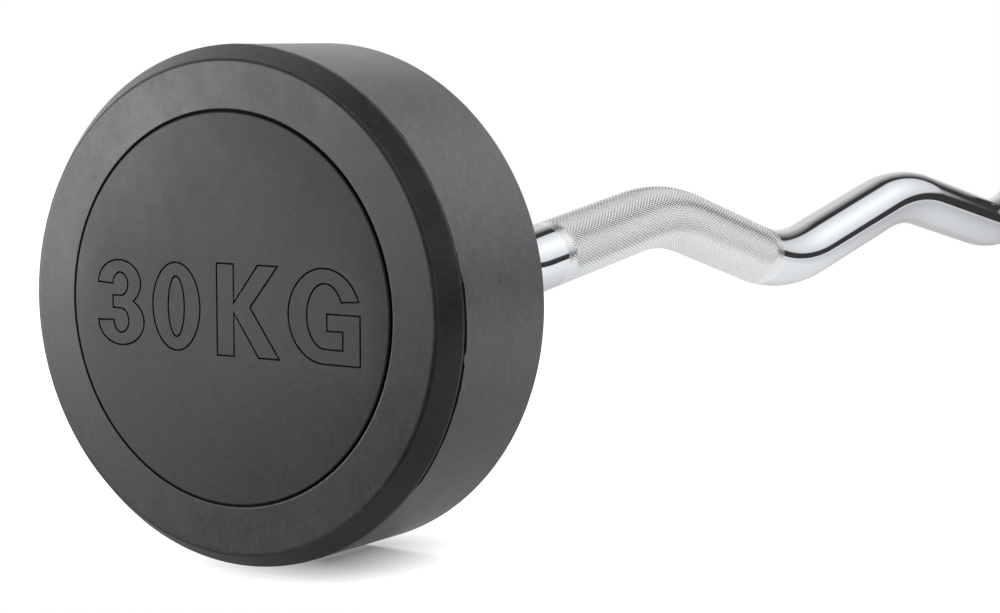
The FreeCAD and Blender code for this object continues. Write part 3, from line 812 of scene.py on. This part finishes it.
def make_disc(side, materials):
    """The end disc of a head: its marked face, rounded edge, and the bead of glue in the gap round it,
    which, like the disc's side, is painted dark as shade in the gap.
    """
    turns = [FULL_TURN * step / DISC_SEGMENTS for step in range(DISC_SEGMENTS)]
    points, faces, ring = disc_face(side, turns)
    plain, ids = [True] * len(faces), [FACE_SKIN] * len(faces)
    edge = round_edge(DISC_FACE_DEPTH - DISC_EDGE_RADIUS, DISC_FLAT_RADIUS, DISC_EDGE_RADIUS, 0, 90)
    edge = edge[EDGE_LEAD_POINTS:]
    glue = [(GLUE_DEPTH, DISC_RADIUS), (GLUE_DEPTH, GLUE_RADIUS), (DISC_BACK_DEPTH, GLUE_RADIUS)]
    for row, (depth, radius) in enumerate([*edge, *glue]):
        start = len(points)
        for turn in turns:
            high = depth + glue_rise(turn) if depth == GLUE_DEPTH else depth
            points.append(head_point(side, high, radius * math.cos(turn), radius * math.sin(turn)))
        for number in range(DISC_SEGMENTS):
            after = (number + 1) % DISC_SEGMENTS
            faces.append((ring[number], ring[after], start + after, start + number))
        plain += [False] * DISC_SEGMENTS
        # The disc's side wall and the glue take the dark gap rubber: painted shade in the gap
        ids += [FACE_SKIN if row < len(edge) else GAP_PAINTED_SHADE_SKIN] * DISC_SEGMENTS
        ring = list(range(start, start + DISC_SEGMENTS))
    faces.append(tuple(ring))
    plain.append(True)
    ids.append(GAP_PAINTED_SHADE_SKIN)
    name, node = f"{side}_disc_marked", f"{side}_end_disc"
    skins = [materials[finish] for finish in DISC_FINISHES]
    add_piece(name, points, faces, skins, node, plain, ids)


def dress_inner_parts(side, materials):
    """The parts inside a head keep their solids and get their steel."""
    for part, finish in INNER_MATERIALS.items():
        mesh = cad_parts[f"{side}_{part}"].data
        mesh.materials.clear()
        mesh.materials.append(materials[finish])


def make_floor():
    """A plain white floor with the lamps' shadow close to the heads, a painted shadow where its glow is
    turned down beside each head, and painted shade in its mirrored glow near the heads and towards the back.
    """
    mesh = bpy.data.meshes.new("floor")
    (left, right), (front, back) = FLOOR_REACH["x"], FLOOR_REACH["y"]
    corners = [(left, front, 0.0), (right, front, 0.0), (right, back, 0.0), (left, back, 0.0)]
    mesh.from_pydata(corners, [], [(0, 1, 2, 3)])
    floor = bpy.data.objects.new("floor", mesh)
    bpy.context.scene.collection.objects.link(floor)
    material, tree, shader, place = new_material("floor_white")
    tree.nodes.remove(shader)
    parts = add_node(tree, "ShaderNodeSeparateXYZ", {0: place})
    along = calculate(tree, "SUBTRACT", calculate(tree, "ABSOLUTE", parts.outputs["X"]), PAINTED_SHADOW_PLACE[0])
    along = calculate(tree, "SUBTRACT", calculate(tree, "ABSOLUTE", along), PAINTED_SHADOW_HALF_WIDTH)
    along = calculate(tree, "MAXIMUM", along)
    across = calculate(tree, "SUBTRACT", parts.outputs["Y"], PAINTED_SHADOW_PLACE[1])
    off = add_node(tree, "ShaderNodeCombineXYZ", {"X": along, "Y": across}).outputs[0]
    away = add_node(tree, "ShaderNodeVectorMath", {0: off}, operation="LENGTH").outputs["Value"]
    # Painted shadow: the floor's glow is turned down beside each head, on top of the lamps' own shadow
    white = spread(tree, away, *FLOOR_WHITE, *PAINTED_SHADOW_REACH)
    # Painted shade in mirrors: the floor's mirrored glow is darker near the heads and towards the back
    mirrored = spread(tree, away, *FLOOR_MIRRORED, *MIRROR_PAINTED_SHADE_REACH)
    back = spread(tree, parts.outputs["Y"], *FLOOR_BACK_PAINTED_SHADE_SHARES, *FLOOR_BACK_PAINTED_SHADE_REACH)
    mirrored = calculate(tree, "MULTIPLY", mirrored, back)
    path = add_node(tree, "ShaderNodeLightPath")
    bounced = calculate(tree, "MAXIMUM", path.outputs["Is Glossy Ray"], path.outputs["Is Transmission Ray"])
    glow = calculate(tree, "MULTIPLY", white, path.outputs["Is Camera Ray"])
    glow = calculate(tree, "ADD", glow, calculate(tree, "MULTIPLY", mirrored, bounced))
    matt = add_node(tree, "ShaderNodeBsdfDiffuse", {"Color": grey(FLOOR_TONE)})
    shine = add_node(tree, "ShaderNodeEmission", {"Strength": glow})
    both = add_node(tree, "ShaderNodeAddShader", {0: matt.outputs[0], 1: shine.outputs[0]})
    tree.links.new(both.outputs[0], tree.nodes["Material Output"].inputs["Surface"])
    mesh.materials.append(material)


def toward(bearing, rise):
    """The way to a bearing and height in degrees."""
    bearing, rise = math.radians(bearing), math.radians(rise)
    return Vector((math.cos(rise) * math.cos(bearing), math.cos(rise) * math.sin(bearing), math.sin(rise)))


def make_room():
    """A white background to look at, in a dim room with two pale walls and a soft lamp."""
    world = bpy.data.worlds.new("room")
    bpy.context.scene.world = world
    world.use_nodes = True
    tree = world.node_tree
    way = add_node(tree, "ShaderNodeTexCoord").outputs["Generated"]
    parts = add_node(tree, "ShaderNodeSeparateXYZ", {0: way})
    bearing = calculate(tree, "DEGREES", calculate(tree, "ARCTAN2", parts.outputs["Y"], parts.outputs["X"]))
    rise = calculate(tree, "DEGREES", calculate(tree, "ARCSINE", parts.outputs["Z"]))
    lean = calculate(tree, "MULTIPLY", calculate(tree, "SUBTRACT", rise, WALL_LEAN_FROM), WALL_LEAN_SHARE)
    wall = spread(tree, calculate(tree, "SUBTRACT", bearing, lean), 0.0, 1.0, *WALL_EDGE)
    wall = calculate(tree, "MULTIPLY", wall, spread(tree, bearing, 1.0, 0.0, *WALL_FAR_EDGE))
    wall = calculate(tree, "MULTIPLY", wall, spread(tree, rise, 1.0, 0.0, *WALL_TOP))
    right = spread(tree, bearing, 0.0, 1.0, *RIGHT_WALL_EDGES[0])
    right = calculate(tree, "MULTIPLY", right, spread(tree, bearing, 1.0, 0.0, *RIGHT_WALL_EDGES[1]))
    right = calculate(tree, "MULTIPLY", right, spread(tree, rise, 0.0, 1.0, *RIGHT_WALL_FOOT))
    right = calculate(tree, "MULTIPLY", right, spread(tree, rise, 1.0, 0.0, *WALL_TOP))
    dim = mix_colours(tree, right, grey(ROOM_LIGHT), grey(RIGHT_WALL_LIGHT))
    pale = mix_colours(tree, wall, dim, grey(WALL_LIGHT))
    lamp_way = toward(SOFT_LAMP_BEARING, SOFT_LAMP_RISE)
    facing = add_node(tree, "ShaderNodeVectorMath", {0: way, 1: lamp_way}, operation="DOT_PRODUCT")
    off_lamp = calculate(tree, "DEGREES", calculate(tree, "ARCCOSINE", facing.outputs["Value"]))
    lamp = spread(tree, off_lamp, 1.0, 0.0, *SOFT_LAMP_EDGE, soft=True)
    bright = spread(tree, off_lamp, *SOFT_LAMP_LIGHT, 0.0, SOFT_LAMP_EDGE[0])
    lit = mix_colours(tree, lamp, pale, bright)
    room = add_node(tree, "ShaderNodeBackground", {"Color": lit})
    white = add_node(tree, "ShaderNodeBackground", {"Color": grey(1.0)})
    path = add_node(tree, "ShaderNodeLightPath")
    clear = calculate(tree, "MAXIMUM", path.outputs["Is Camera Ray"], path.outputs["Is Transmission Ray"])
    both = add_node(tree, "ShaderNodeMixShader", {0: clear, 1: room.outputs[0], 2: white.outputs[0]})
    tree.links.new(both.outputs[0], tree.nodes["World Output"].inputs["Surface"])


def make_lamps():
    """Soft lamps that aren't seen by the camera."""
    for name, lamp in LAMPS.items():
        width, height = lamp["size"]
        light = bpy.data.lights.new(name, "AREA")
        light.shape = "ELLIPSE"
        light.size = width
        light.size_y = height
        light.color = lamp["tint"]
        light.energy = lamp["glow"] * math.pi * (math.pi / 4 * width * height)
        stand = bpy.data.objects.new(name, light)
        way = toward(lamp["bearing"], lamp["rise"])
        stand.location = Vector(lamp["aim"]) + way * lamp["far"]
        stand.rotation_mode = "QUATERNION"
        stand.rotation_quaternion = way.to_track_quat("Z", "Y")
        stand.visible_camera = False
        stand.visible_glossy = lamp["mirrored"]
        bpy.context.scene.collection.objects.link(stand)


def make_camera():
    """The camera, in front of the left head and looking along the bar."""
    lens = bpy.data.cameras.new("camera")
    lens.sensor_fit = "HORIZONTAL"
    lens.sensor_width = CAMERA_SENSOR
    lens.lens = CAMERA_LENS
    camera = bpy.data.objects.new("camera", lens)
    forward = toward(CAMERA_YAW, -CAMERA_FALL)
    camera.location = CAMERA_PLACE
    camera.rotation_mode = "QUATERNION"
    camera.rotation_quaternion = forward.to_track_quat("-Z", "Y")
    bpy.context.scene.collection.objects.link(camera)
    bpy.context.scene.camera = camera


make_camera()
make_floor()
make_room()
make_lamps()
finishes = make_materials()
make_bar(finishes)
seam_draws = random.Random(SEAM_SEED)
for head in SIDES:
    make_drum(head, finishes, seam_draws)
    make_ring(head, finishes)
    make_disc(head, finishes)
    dress_inner_parts(head, finishes)
bpy.context.scene.view_settings.view_transform = "Standard"
